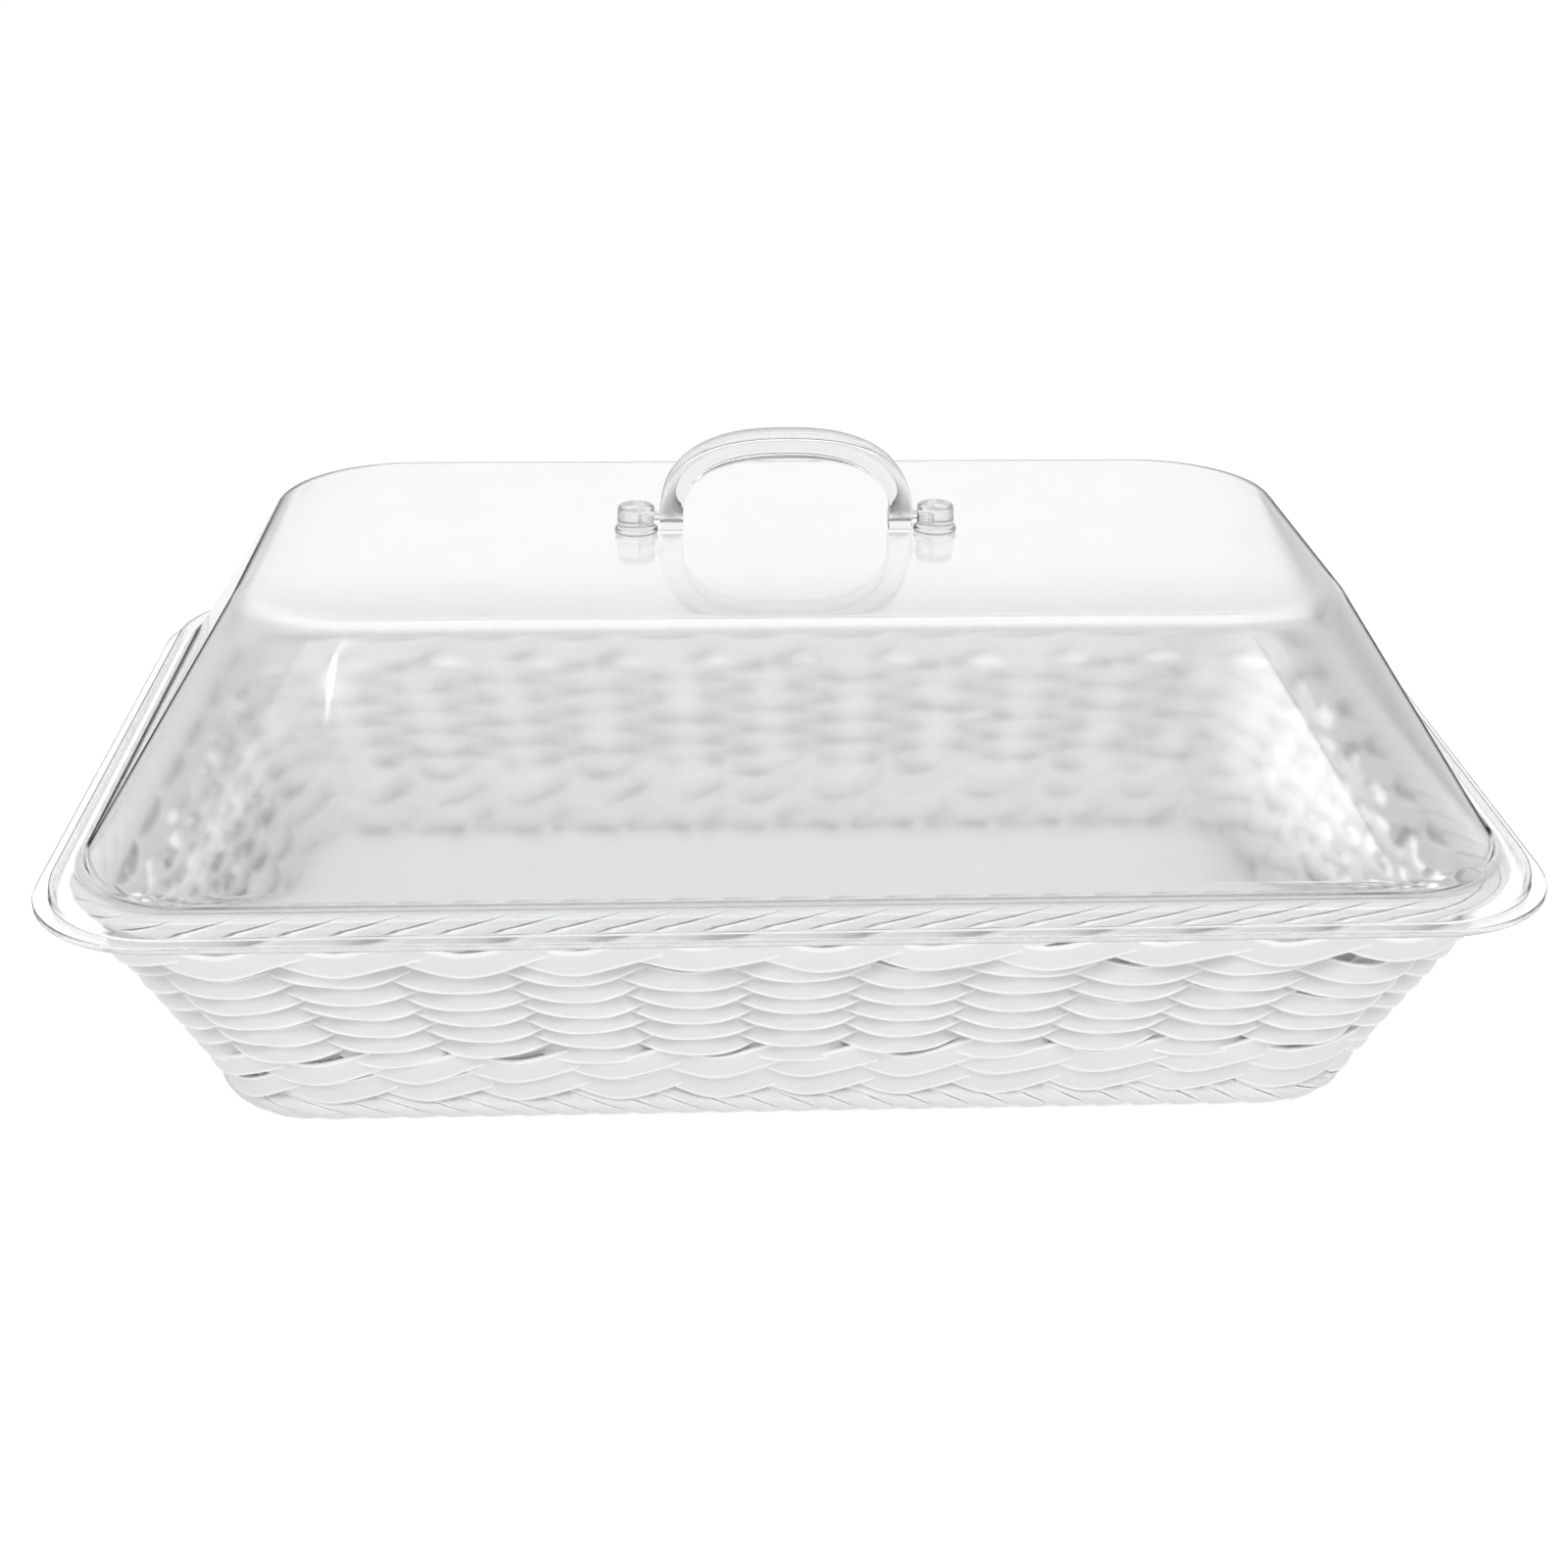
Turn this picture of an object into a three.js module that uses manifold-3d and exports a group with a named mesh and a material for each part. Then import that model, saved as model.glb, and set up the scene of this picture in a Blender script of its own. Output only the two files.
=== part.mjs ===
// A woven serving basket with a clear domed lid and a folding carry handle.
// Millimetres, +Z up. The origin is the middle of the foot, on the table, and +X runs along the length.

import * as THREE from 'three';
import { mergeVertices } from 'three/addons/utils/BufferGeometryUtils.js';
import Module from 'manifold-3d';

// Basket: outer sizes at the rim border, and radii along the middle of the wall
const BASKET_LENGTH = 403;
const BASKET_WIDTH = 244;
const BASKET_HEIGHT = 84;
const WALL_FLARE = 35;
const RIM_CORNER = 26;
const FOOT_CORNER = 24;
const RIM_THICKNESS = 9;
const RIM_HEIGHT = 9.5;
const FOOT_THICKNESS = 5;
const FOOT_HEIGHT = 8;

// Strands: flat stakes run up the walls and across the floor, weavers and wales run round them
const STAKE_SETS = 6;
const STAKE_WIDTH = 4.5;
const STAKE_THICKNESS = 1.6;
const STAKE_BEND = 6;
const WEAVER_ROWS = 11;
const WEAVER_THICKNESS = 1.6;
const CROSSING_HEIGHT = 1.3;
const WALE_HEIGHT = 3;
const LOWER_WALE_ROUNDS = 2;
const FLOOR_LIFT = 2.2;
const MAT_THICKNESS = 2;

// Lid: a clear moulded dome with a flange over the rim, a short skirt round it and a lip to lift it by
const LID_WALL = 2;
const LID_CLEARANCE = 2;
const LIP_WIDTH = 4.5;
const SKIRT_DEPTH = 6;
const FLANGE_WIDTH = 7.75;
const DOME_HEIGHT = 63.5;
const DOME_LEAN = 41;
const DOME_CORNER = 36;
const DOME_FILLET = 6;

// Handle: a bail that turns on its own pins between two posts
const HANDLE_WIDTH = 76;
const HANDLE_HEIGHT = 31;
const HANDLE_THICKNESS = 7;
const HANDLE_EDGE = 2;
const GRIP_DEPTH = 14;
const ARCH_POWER = 2.5;
const EYE_DIAMETER = 8;
const PIN_DIAMETER = 4;
const PIN_GRIP = 5;
const PIN_CLEARANCE = 0.4;
const SWING_GAP = 0.6;
const POST_DIAMETER = 11.6;
const POST_TAPER = 0.4;
const POST_CAP = 1.6;
const COLLAR_DIAMETER = 13;
const COLLAR_HEIGHT = 2;

// The space left between pieces that touch, and the fineness of round shapes
const GAP = 0.3;
const CORNER_STEPS = 8;
const BAND_SIDES = 8;
const BEND_STEPS = 4;
const ARCH_STEPS = 20;
const ROUND_STEPS = 24;

const wasm = await Module();
wasm.setup();

const strandWhite = { color: 0xf2f2ee, roughness: 0.45, metalness: 0 };
const lidClear = { color: 0xf4f7f8, roughness: 0.06, metalness: 0, transparent: true, opacity: 0.3 };
const handleClear = { color: 0xeef2f4, roughness: 0.08, metalness: 0, transparent: true, opacity: 0.45 };

function piece(name, geometry, look) {
  const mesh = new THREE.Mesh(geometry, new THREE.MeshStandardMaterial(look));
  mesh.name = name;
  return mesh;
}

function numbered(name, number) {
  return `${name}_${String(number).padStart(2, '0')}`;
}

// Skin over a row of like sections, closed into a ring or capped at both ends
function loft(sections, isRing) {
  const around = sections[0].length;
  const position = sections.flat().flatMap((point) => point.toArray());
  const index = [];
  const spans = isRing ? sections.length : sections.length - 1;
  for (let span = 0; span < spans; span += 1) {
    const near = span * around;
    const far = ((span + 1) % sections.length) * around;
    for (let side = 0; side < around; side += 1) {
      const next = (side + 1) % around;
      index.push(near + side, near + next, far + next);
      index.push(near + side, far + next, far + side);
    }
  }
  if (!isRing) {
    const last = (sections.length - 1) * around;
    for (let side = 1; side < around - 1; side += 1) {
      index.push(0, side + 1, side);
      index.push(last, last + side, last + side + 1);
    }
  }
  const geometry = new THREE.BufferGeometry();
  geometry.setAttribute('position', new THREE.Float32BufferAttribute(position, 3));
  geometry.setIndex(index);
  geometry.computeVertexNormals();
  return geometry;
}

function toSolid(geometry) {
  const bare = geometry.clone();
  bare.deleteAttribute('normal');
  bare.deleteAttribute('uv');
  const merged = mergeVertices(bare, 1e-4);
  const vertProperties = new Float32Array(merged.attributes.position.array);
  const triVerts = new Uint32Array(merged.index.array);
  return new wasm.Manifold(new wasm.Mesh({ numProp: 3, vertProperties, triVerts }));
}

function toGeometry(solid) {
  const mesh = solid.getMesh();
  const geometry = new THREE.BufferGeometry();
  geometry.setAttribute('position', new THREE.Float32BufferAttribute(mesh.vertProperties, 3));
  geometry.setIndex(Array.from(mesh.triVerts));
  geometry.computeVertexNormals();
  return geometry;
}

// A level loop round a rectangle with rounded corners, anticlockwise seen from above
function loop(length, width, radius, height) {
  const points = [];
  for (let corner = 0; corner < 4; corner += 1) {
    const x = (length / 2 - radius) * (corner < 2 ? 1 : -1);
    const y = (width / 2 - radius) * (corner === 1 || corner === 2 ? 1 : -1);
    for (let step = 0; step <= CORNER_STEPS; step += 1) {
      const angle = (corner - 1 + step / CORNER_STEPS) * (Math.PI / 2);
      points.push(new THREE.Vector3(x + radius * Math.cos(angle), y + radius * Math.sin(angle), height));
    }
  }
  return points;
}

// The same outline as a path that starts at the middle of the front
function outlinePath(length, width, radius) {
  const x = length / 2 - radius;
  const y = width / 2 - radius;
  const path = new THREE.Path();
  path.moveTo(0, -width / 2);
  path.lineTo(x, -width / 2);
  path.absarc(x, -y, radius, -Math.PI / 2, 0);
  path.absarc(x, y, radius, 0, Math.PI / 2);
  path.absarc(-x, y, radius, Math.PI / 2, Math.PI);
  path.absarc(-x, -y, radius, Math.PI, Math.PI * 1.5);
  path.lineTo(0, -width / 2);
  return path;
}

// Middle of the wall: it leans out evenly from the foot to the rim
const rimLength = BASKET_LENGTH - RIM_THICKNESS;
const rimWidth = BASKET_WIDTH - RIM_THICKNESS;
const footLength = rimLength - 2 * WALL_FLARE;
const footWidth = rimWidth - 2 * WALL_FLARE;
const rimPath = outlinePath(rimLength, rimWidth, RIM_CORNER);
const footPath = outlinePath(footLength, footWidth, FOOT_CORNER);

function wallLoop(height, out) {
  const rise = height / BASKET_HEIGHT;
  const length = THREE.MathUtils.lerp(footLength, rimLength, rise);
  const width = THREE.MathUtils.lerp(footWidth, rimWidth, rise);
  const corner = THREE.MathUtils.lerp(FOOT_CORNER, RIM_CORNER, rise);
  return loop(length + 2 * out, width + 2 * out, corner + out, height);
}

// Stakes stand evenly round the wall, and a set of six suits both the plain rows and the wales
const stakeCount = 6 * STAKE_SETS;
const footPitch = footPath.getLength() / stakeCount;

function outlinePoint(path, turn) {
  return path.getPoint(THREE.MathUtils.euclideanModulo(turn / stakeCount, 1));
}

// Direction round the wall at a stake, from half a stake before it to half a stake after
function wallTangent(turn) {
  const ahead = outlinePoint(footPath, turn + 0.5).add(outlinePoint(rimPath, turn + 0.5));
  const behind = outlinePoint(footPath, turn - 0.5).add(outlinePoint(rimPath, turn - 0.5));
  return ahead.sub(behind).normalize();
}

// Angle by which a strand bends away from the flat of a stake, on the side where it bends more
function turnAtStake(path, turn) {
  const here = outlinePoint(path, turn);
  const behind = here.clone().sub(outlinePoint(path, turn - 0.5));
  const ahead = outlinePoint(path, turn + 0.5).sub(here);
  const flat = wallTangent(turn);
  return Math.max(behind.angleTo(flat), ahead.angleTo(flat));
}

// A point on the wall: turn counts stakes from the middle of the front, out is the distance off the middle
function wallPoint(turn, height, out) {
  const spot = outlinePoint(footPath, turn).lerp(outlinePoint(rimPath, turn), height / BASKET_HEIGHT);
  const along = wallTangent(turn);
  return new THREE.Vector3(spot.x + along.y * out, spot.y - along.x * out, height);
}

// A flat strand round the wall; each station gives its turn, its place on the wall and how tall it is there
function ringStrand(stations) {
  const half = WEAVER_THICKNESS / 2;
  const sections = stations.map(({ turn, height, out, tall }) => [
    wallPoint(turn, height - tall / 2, out - half),
    wallPoint(turn, height + tall / 2, out - half),
    wallPoint(turn, height + tall / 2, out + half),
    wallPoint(turn, height - tall / 2, out + half),
  ]);
  return loft(sections, true);
}

// How far a strand bows off the wall to pass a stake, also where the ring turns a corner
const stakeTurns = Array.from({ length: stakeCount }, (_, turn) => turn);
const sharpestTurn = Math.max(...[footPath, rimPath].flatMap((path) =>
  stakeTurns.map((turn) => turnAtStake(path, turn))));
const cornerDip = (STAKE_WIDTH / 2) * Math.tan(sharpestTurn);
const passDistance = (STAKE_THICKNESS + WEAVER_THICKNESS) / 2 + GAP + cornerDip;
const bow = passDistance / (1 - STAKE_WIDTH / footPitch);

// Share of the way between two stakes where strands on opposite sides come too close to overlap in height
const closeShare = (WEAVER_THICKNESS + GAP) / (2 * bow);

// Heights up the wall: foot border, lower wale, plain rows, upper wale, rim border
const waleRise = (WALE_HEIGHT + GAP) / Math.min(1, 2 - 3 * closeShare);
const waleSpan = 2 * waleRise + WALE_HEIGHT;
const rimBottom = BASKET_HEIGHT - RIM_HEIGHT;
const lowerWaleMiddle = FOOT_HEIGHT + GAP + waleSpan / 2;
const upperWaleMiddle = rimBottom - GAP - waleSpan / 2;
const rowsBottom = FOOT_HEIGHT + GAP + LOWER_WALE_ROUNDS * (waleSpan + GAP);
const rowsTop = upperWaleMiddle - waleSpan / 2 - GAP;
const rowPitch = (rowsTop - rowsBottom + GAP) / (WEAVER_ROWS + 1);
const roomAtCrossing = (rowPitch - GAP - (1 - closeShare) * CROSSING_HEIGHT) / closeShare;
const lobeHeight = Math.min(2 * rowPitch - GAP, roomAtCrossing);

// A plain row goes out round one stake and in behind the next, tall on the stakes and slim where rows cross
function weaverRow(row) {
  const stations = [];
  for (let half = 0; half < 2 * stakeCount; half += 1) {
    const onStake = half % 2 === 0;
    const side = (half / 2 + row) % 2 === 0 ? 1 : -1;
    stations.push({
      turn: half / 2,
      height: rowsBottom + rowPitch * (row + 1) - GAP / 2,
      out: onStake ? side * bow : 0,
      tall: onStake ? lobeHeight : CROSSING_HEIGHT,
    });
  }
  return ringStrand(stations);
}

// One of three rods of a wale: out past two stakes, climbing, then in behind the third
function waleRod(middle, rod) {
  const places = [
    { out: bow, lift: -waleRise },
    { out: bow, lift: waleRise },
    { out: -bow, lift: 0 },
  ];
  const stations = [];
  for (let half = 0; half < 2 * stakeCount; half += 1) {
    const stake = Math.floor(half / 2);
    const here = places[(stake + rod) % 3];
    const next = places[(stake + rod + 1) % 3];
    const part = half % 2 === 0 ? 0 : 0.5;
    stations.push({
      turn: half / 2,
      height: middle + THREE.MathUtils.lerp(here.lift, next.lift, part),
      out: THREE.MathUtils.lerp(here.out, next.out, part),
      tall: WALE_HEIGHT,
    });
  }
  return ringStrand(stations);
}

// Rim and foot borders: thick bands that lean with the wall
function borderBand(bottom, height, out, thickness) {
  const sections = [];
  const stretch = 1 / Math.cos(Math.PI / BAND_SIDES);
  for (let side = 0; side < BAND_SIDES; side += 1) {
    const angle = ((side + 0.5) / BAND_SIDES) * Math.PI * 2;
    const rise = (height / 2) * (1 + stretch * Math.sin(angle));
    sections.push(wallLoop(bottom + rise, out + (thickness / 2) * stretch * Math.cos(angle)));
  }
  return loft(sections, true);
}

// Floor levels: lengthwise stakes lie lowest, the crosswise ones on them, and the mat on those
const lengthwiseLevel = FLOOR_LIFT + STAKE_THICKNESS / 2;
const crosswiseLevel = lengthwiseLevel + STAKE_THICKNESS + GAP;
const matBottom = crosswiseLevel + STAKE_THICKNESS / 2 + GAP;
const stakeTop = rimBottom - GAP - STAKE_THICKNESS;

// One end of a stake, from the top of the wall down to where it lies flat
function stakeEnd(turn, level, inward, flatSide, facing) {
  const wallSide = wallTangent(turn).multiplyScalar(facing);
  const top = wallPoint(turn, stakeTop, 0);
  const bendTop = wallPoint(turn, level + STAKE_BEND, 0);
  const corner = wallPoint(turn, level, 0);
  const flat = corner.clone().addScaledVector(inward, STAKE_BEND);
  const bend = new THREE.QuadraticBezierCurve3(bendTop, corner, flat).getPoints(BEND_STEPS);
  const upright = new THREE.Vector3(wallSide.x, wallSide.y, 0);
  const face = inward.clone().addScaledVector(upright, -inward.dot(upright)).normalize();
  const end = [{ spot: top, side: upright, face }];
  bend.forEach((spot, step) => end.push({ spot, side: step < BEND_STEPS ? upright : flatSide }));
  end[1].face = face;
  return end;
}

// A flat ribbon through a list of spots, each with the direction of its width and, on a wall, of its face
function ribbon(path, width, thickness) {
  const sections = path.map(({ spot, side, face }, place) => {
    const before = path[Math.max(place - 1, 0)].spot;
    const after = path[Math.min(place + 1, path.length - 1)].spot;
    const travel = after.clone().sub(before).normalize();
    const across = travel.clone().cross(side).normalize();
    const turned = face && face.dot(across) < 0 ? face.clone().negate() : face;
    const up = turned ?? across;
    return [[-1, -1], [1, -1], [1, 1], [-1, 1]].map(([edge, skin]) =>
      spot.clone().addScaledVector(side, (edge * width) / 2).addScaledVector(up, (skin * thickness) / 2));
  });
  return loft(sections, false);
}

// A stake runs up one wall, under the floor mat and up the wall opposite
function stake(turn, oppositeTurn, level, inward, flatSide) {
  const near = stakeEnd(turn, level, inward, flatSide, 1);
  const far = stakeEnd(oppositeTurn, level, inward.clone().negate(), flatSide, -1);
  return ribbon([...near, ...far.reverse()], STAKE_WIDTH, STAKE_THICKNESS);
}

function floorMat() {
  const inset = -(STAKE_BEND + GAP);
  const low = wallLoop(matBottom, inset);
  const high = low.map((point) => point.clone().setZ(matBottom + MAT_THICKNESS));
  return loft([low, high], false);
}

const basket = new THREE.Group();
const stakesPerSide = stakeCount / 2;
const crosswiseCount = 2 * Math.round((stakesPerSide * footLength) / (footLength + footWidth) / 2 - 0.5) + 1;
const crosswiseReach = (crosswiseCount - 1) / 2;
const toBack = new THREE.Vector3(0, 1, 0);
const toLeft = new THREE.Vector3(-1, 0, 0);
for (let turn = -crosswiseReach; turn <= crosswiseReach; turn += 1) {
  const shape = stake(turn, stakesPerSide - turn, crosswiseLevel, toBack, toLeft.clone().negate());
  basket.add(piece(numbered('crosswise_stake', turn + crosswiseReach + 1), shape, strandWhite));
}
for (let turn = crosswiseReach + 1; turn < stakesPerSide - crosswiseReach; turn += 1) {
  const shape = stake(turn, -turn, lengthwiseLevel, toLeft, toBack);
  basket.add(piece(numbered('lengthwise_stake', turn - crosswiseReach), shape, strandWhite));
}
for (let row = 0; row < WEAVER_ROWS; row += 1) {
  basket.add(piece(numbered('weaver_row', row + 1), weaverRow(row), strandWhite));
}
for (let rod = 0; rod < 3; rod += 1) {
  for (let round = 0; round < LOWER_WALE_ROUNDS; round += 1) {
    const shape = waleRod(lowerWaleMiddle + round * (waleSpan + GAP), rod);
    basket.add(piece(numbered('lower_wale_rod', 3 * round + rod + 1), shape, strandWhite));
  }
  basket.add(piece(numbered('upper_wale_rod', rod + 1), waleRod(upperWaleMiddle, rod), strandWhite));
}
const footOut = STAKE_THICKNESS / 2 + GAP + cornerDip + FOOT_THICKNESS / 2;
basket.add(piece('rim_border', borderBand(rimBottom, RIM_HEIGHT, 0, RIM_THICKNESS), strandWhite));
basket.add(piece('foot_border', borderBand(0, FOOT_HEIGHT, footOut, FOOT_THICKNESS), strandWhite));
basket.add(piece('floor_mat', floorMat(), strandWhite));

// Lid sizes follow the rim border that it sits over
const lipLength = BASKET_LENGTH + 2 * (LID_CLEARANCE + LID_WALL + LIP_WIDTH);
const lipWidth = BASKET_WIDTH + 2 * (LID_CLEARANCE + LID_WALL + LIP_WIDTH);
const lipCorner = RIM_CORNER + RIM_THICKNESS / 2 + LID_CLEARANCE + LID_WALL + LIP_WIDTH;
const flangeBottom = BASKET_HEIGHT + GAP;
const flangeTop = flangeBottom + LID_WALL;
const lipBottom = flangeBottom - SKIRT_DEPTH;
const lidTop = flangeTop + DOME_HEIGHT;

function lidLoop(inset, height, radius) {
  return loop(lipLength - 2 * inset, lipWidth - 2 * inset, radius, height);
}

// The shell is skinned from the ceiling down the inside, round the lip and up the outside
function lidShell() {
  const slope = Math.atan2(DOME_HEIGHT, DOME_LEAN);
  const wallAcross = LID_WALL / Math.sin(slope);
  const domeFoot = LIP_WIDTH + FLANGE_WIDTH;
  const bendMiddle = domeFoot + DOME_LEAN + DOME_FILLET * Math.tan(slope / 2);
  const filletSteps = CORNER_STEPS / 2;
  const inside = [];
  const outside = [];
  for (let step = 0; step <= filletSteps; step += 1) {
    const angle = (slope * step) / filletSteps;
    const inner = DOME_FILLET - LID_WALL;
    const middle = lidTop - DOME_FILLET;
    const innerCorner = DOME_CORNER - LID_WALL * Math.sin(angle);
    inside.push(lidLoop(bendMiddle - inner * Math.sin(angle), middle + inner * Math.cos(angle), innerCorner));
    outside.unshift(
      lidLoop(bendMiddle - DOME_FILLET * Math.sin(angle), middle + DOME_FILLET * Math.cos(angle), DOME_CORNER));
  }
  const innerFoot = domeFoot + wallAcross - LID_WALL / Math.tan(slope);
  const skirtInside = LIP_WIDTH + LID_WALL;
  const lipTop = lipBottom + LID_WALL;
  const edge = [
    lidLoop(innerFoot, flangeBottom, DOME_CORNER - wallAcross),
    lidLoop(skirtInside, flangeBottom, lipCorner - skirtInside),
    lidLoop(skirtInside, lipBottom, lipCorner - skirtInside),
    lidLoop(0, lipBottom, lipCorner),
    lidLoop(0, lipTop, lipCorner),
    lidLoop(LIP_WIDTH, lipTop, lipCorner - LIP_WIDTH),
    lidLoop(LIP_WIDTH, flangeTop, lipCorner - LIP_WIDTH),
    lidLoop(domeFoot, flangeTop, DOME_CORNER),
  ];
  return loft([...inside, ...edge, ...outside], false);
}

// Handle pivot: the eyes clear the lid, and the posts stand clear of the eyes
const pivotRise = EYE_DIAMETER / 2 + SWING_GAP;
const boreDiameter = PIN_DIAMETER + 2 * PIN_CLEARANCE;
const postHeight = pivotRise + boreDiameter / 2 + POST_CAP;
const postCentre = HANDLE_WIDTH / 2 + SWING_GAP + COLLAR_DIAMETER / 2;
const pinEnd = postCentre - POST_DIAMETER / 2 + PIN_GRIP;

function rodAlongX(diameter, from, to) {
  const rod = new THREE.CylinderGeometry(diameter / 2, diameter / 2, to - from, ROUND_STEPS);
  rod.rotateZ(-Math.PI / 2);
  rod.translate((from + to) / 2, 0, 0);
  return toSolid(rod);
}

// A tapered post on a round collar, with a blind bore for the pin on the side towards the handle
function pivotPost(side) {
  const foot = POST_DIAMETER / 2;
  const profile = [
    new THREE.Vector2(0, GAP),
    new THREE.Vector2(COLLAR_DIAMETER / 2, GAP),
    new THREE.Vector2(COLLAR_DIAMETER / 2, COLLAR_HEIGHT - POST_TAPER),
    new THREE.Vector2(foot, COLLAR_HEIGHT),
    new THREE.Vector2(foot - POST_TAPER, postHeight - POST_TAPER),
    new THREE.Vector2(foot - 2 * POST_TAPER, postHeight),
    new THREE.Vector2(0, postHeight),
  ];
  const body = new THREE.LatheGeometry(profile, ROUND_STEPS);
  body.rotateX(Math.PI / 2);
  const boreEnd = side * (pinEnd + PIN_CLEARANCE - postCentre);
  const boreMouth = side * -COLLAR_DIAMETER;
  const bore = rodAlongX(boreDiameter, Math.min(boreMouth, boreEnd), Math.max(boreMouth, boreEnd));
  return toGeometry(toSolid(body).subtract(bore.translate([0, 0, pivotRise])));
}

// The bail: an arched strip, deepest at the grip, with a round eye and a pin at each foot
function bailHandle() {
  const halfSpan = HANDLE_WIDTH / 2 - HANDLE_THICKNESS / 2;
  const archRise = HANDLE_HEIGHT - pivotRise - HANDLE_THICKNESS / 2;
  const spots = [];
  for (let step = 0; step <= ARCH_STEPS; step += 1) {
    const angle = Math.PI * (1 - step / ARCH_STEPS);
    const across = Math.sign(Math.cos(angle)) * Math.abs(Math.cos(angle)) ** (2 / ARCH_POWER);
    const up = Math.max(Math.sin(angle), 0) ** (2 / ARCH_POWER);
    spots.push(new THREE.Vector3(halfSpan * across, 0, archRise * up));
  }
  const sections = spots.map((spot, place) => {
    const before = spots[Math.max(place - 1, 0)];
    const after = spots[Math.min(place + 1, ARCH_STEPS)];
    const travel = after.clone().sub(before).normalize();
    const isFoot = place === 0 || place === ARCH_STEPS;
    const face = isFoot ? new THREE.Vector3(Math.sign(spot.x), 0, 0) : new THREE.Vector3(-travel.z, 0, travel.x);
    const depth = THREE.MathUtils.lerp(EYE_DIAMETER, GRIP_DEPTH, spot.z / archRise) / 2;
    const thick = HANDLE_THICKNESS / 2;
    const corners = [
      [depth, HANDLE_EDGE - thick], [depth, thick - HANDLE_EDGE],
      [depth - HANDLE_EDGE, thick], [HANDLE_EDGE - depth, thick],
      [-depth, thick - HANDLE_EDGE], [-depth, HANDLE_EDGE - thick],
      [HANDLE_EDGE - depth, -thick], [depth - HANDLE_EDGE, -thick],
    ];
    return corners.map(([y, off]) => spot.clone().addScaledVector(face, off).setY(y));
  });
  let solid = toSolid(loft(sections, false));
  for (const side of [-1, 1]) {
    const faces = [HANDLE_WIDTH / 2, HANDLE_WIDTH / 2 - HANDLE_THICKNESS].map((x) => side * x);
    const pin = [side * (HANDLE_WIDTH / 2 - HANDLE_THICKNESS / 2), side * pinEnd];
    solid = solid.add(rodAlongX(EYE_DIAMETER, Math.min(...faces), Math.max(...faces)));
    solid = solid.add(rodAlongX(PIN_DIAMETER, Math.min(...pin), Math.max(...pin)));
  }
  return toGeometry(solid);
}

const lid = new THREE.Group();
lid.add(piece('lid_shell', lidShell(), lidClear));
const fittings = new THREE.Group();
fittings.position.z = lidTop;
for (const [name, side] of [['pivot_post_left', -1], ['pivot_post_right', 1]]) {
  const post = piece(name, pivotPost(side), handleClear);
  post.position.x = side * postCentre;
  fittings.add(post);
}
const handle = piece('bail_handle', bailHandle(), handleClear);
handle.position.z = pivotRise;
fittings.add(handle);
lid.add(fittings);

const group = new THREE.Group();
group.add(basket, lid);

export default group;
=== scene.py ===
"""Looks of a woven basket with a clear domed lid, made around its solids.

Metres, +Z up, +X along the length, +Y from the front to the back.
"""

import functools
import math

import bmesh
import bpy
from mathutils import Matrix, Vector, noise


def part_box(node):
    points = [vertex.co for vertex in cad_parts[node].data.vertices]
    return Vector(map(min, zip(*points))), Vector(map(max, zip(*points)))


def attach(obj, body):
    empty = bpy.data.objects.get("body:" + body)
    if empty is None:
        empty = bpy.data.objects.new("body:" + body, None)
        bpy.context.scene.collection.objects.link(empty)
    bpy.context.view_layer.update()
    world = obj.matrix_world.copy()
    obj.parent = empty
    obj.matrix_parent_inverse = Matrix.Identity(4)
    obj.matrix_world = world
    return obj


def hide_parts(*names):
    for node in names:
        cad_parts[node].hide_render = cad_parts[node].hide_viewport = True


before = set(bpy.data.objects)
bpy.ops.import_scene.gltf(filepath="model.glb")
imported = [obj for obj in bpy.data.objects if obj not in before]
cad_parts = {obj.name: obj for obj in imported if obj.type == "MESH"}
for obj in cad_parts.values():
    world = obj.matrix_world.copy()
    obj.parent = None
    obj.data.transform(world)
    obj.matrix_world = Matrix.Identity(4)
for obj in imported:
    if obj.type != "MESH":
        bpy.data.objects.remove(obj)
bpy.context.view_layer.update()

# Wall of the basket: outlines along its middle as length, width and corner radius, and the stakes round it
BASKET_HEIGHT = 0.084
FOOT_OUTLINE = (0.324, 0.165, 0.024)
RIM_OUTLINE = (0.394, 0.235, 0.026)
STAKES = 36
STAKE_WIDTH = 0.0045
STAKE_THICKNESS = 0.0016
STAKE_TOP = 0.0726
STAKE_STEPS = 8
STAKE_BEND = 0.006
STAKE_BEND_STEPS = 6
CROSSWISE_REACH = 5
CROSSWISE_LEVEL = 0.0049
LENGTHWISE_LEVEL = 0.003

# Strips: sections, steps along them, angles past which an edge shades sharp, and unevenness of hand work
STRIP_THICKNESS = 0.0012
STRIP_SIDES = 12
THIN_SIDES = 8
STRIP_SQUARENESS = 6.0
STEPS_PER_STAKE = 12
HOOP_RADIUS = 4.0
RING_SHARP = math.radians(50)
STRIP_SHARP = math.radians(60)
HAND_WOBBLE = 0.0015
WOBBLE_CIRCLE = 8
WOBBLE_ROW_STEP = 3.7

# Plain rows: heights, how far they bow off the middle of the wall, widths, and how they lean on it
PLAIN_ROWS = 11
PLAIN_BOTTOM = 0.0278
PLAIN_PITCH = 0.0034
PLAIN_BOW = 0.0039
PLAIN_BOW_SQUARENESS = 2.4
PLAIN_WIDTH = 0.007
PLAIN_NECK = 0.0064
PLAIN_LEAN = math.radians(13)
PLAIN_TWIST = math.radians(50)

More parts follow.
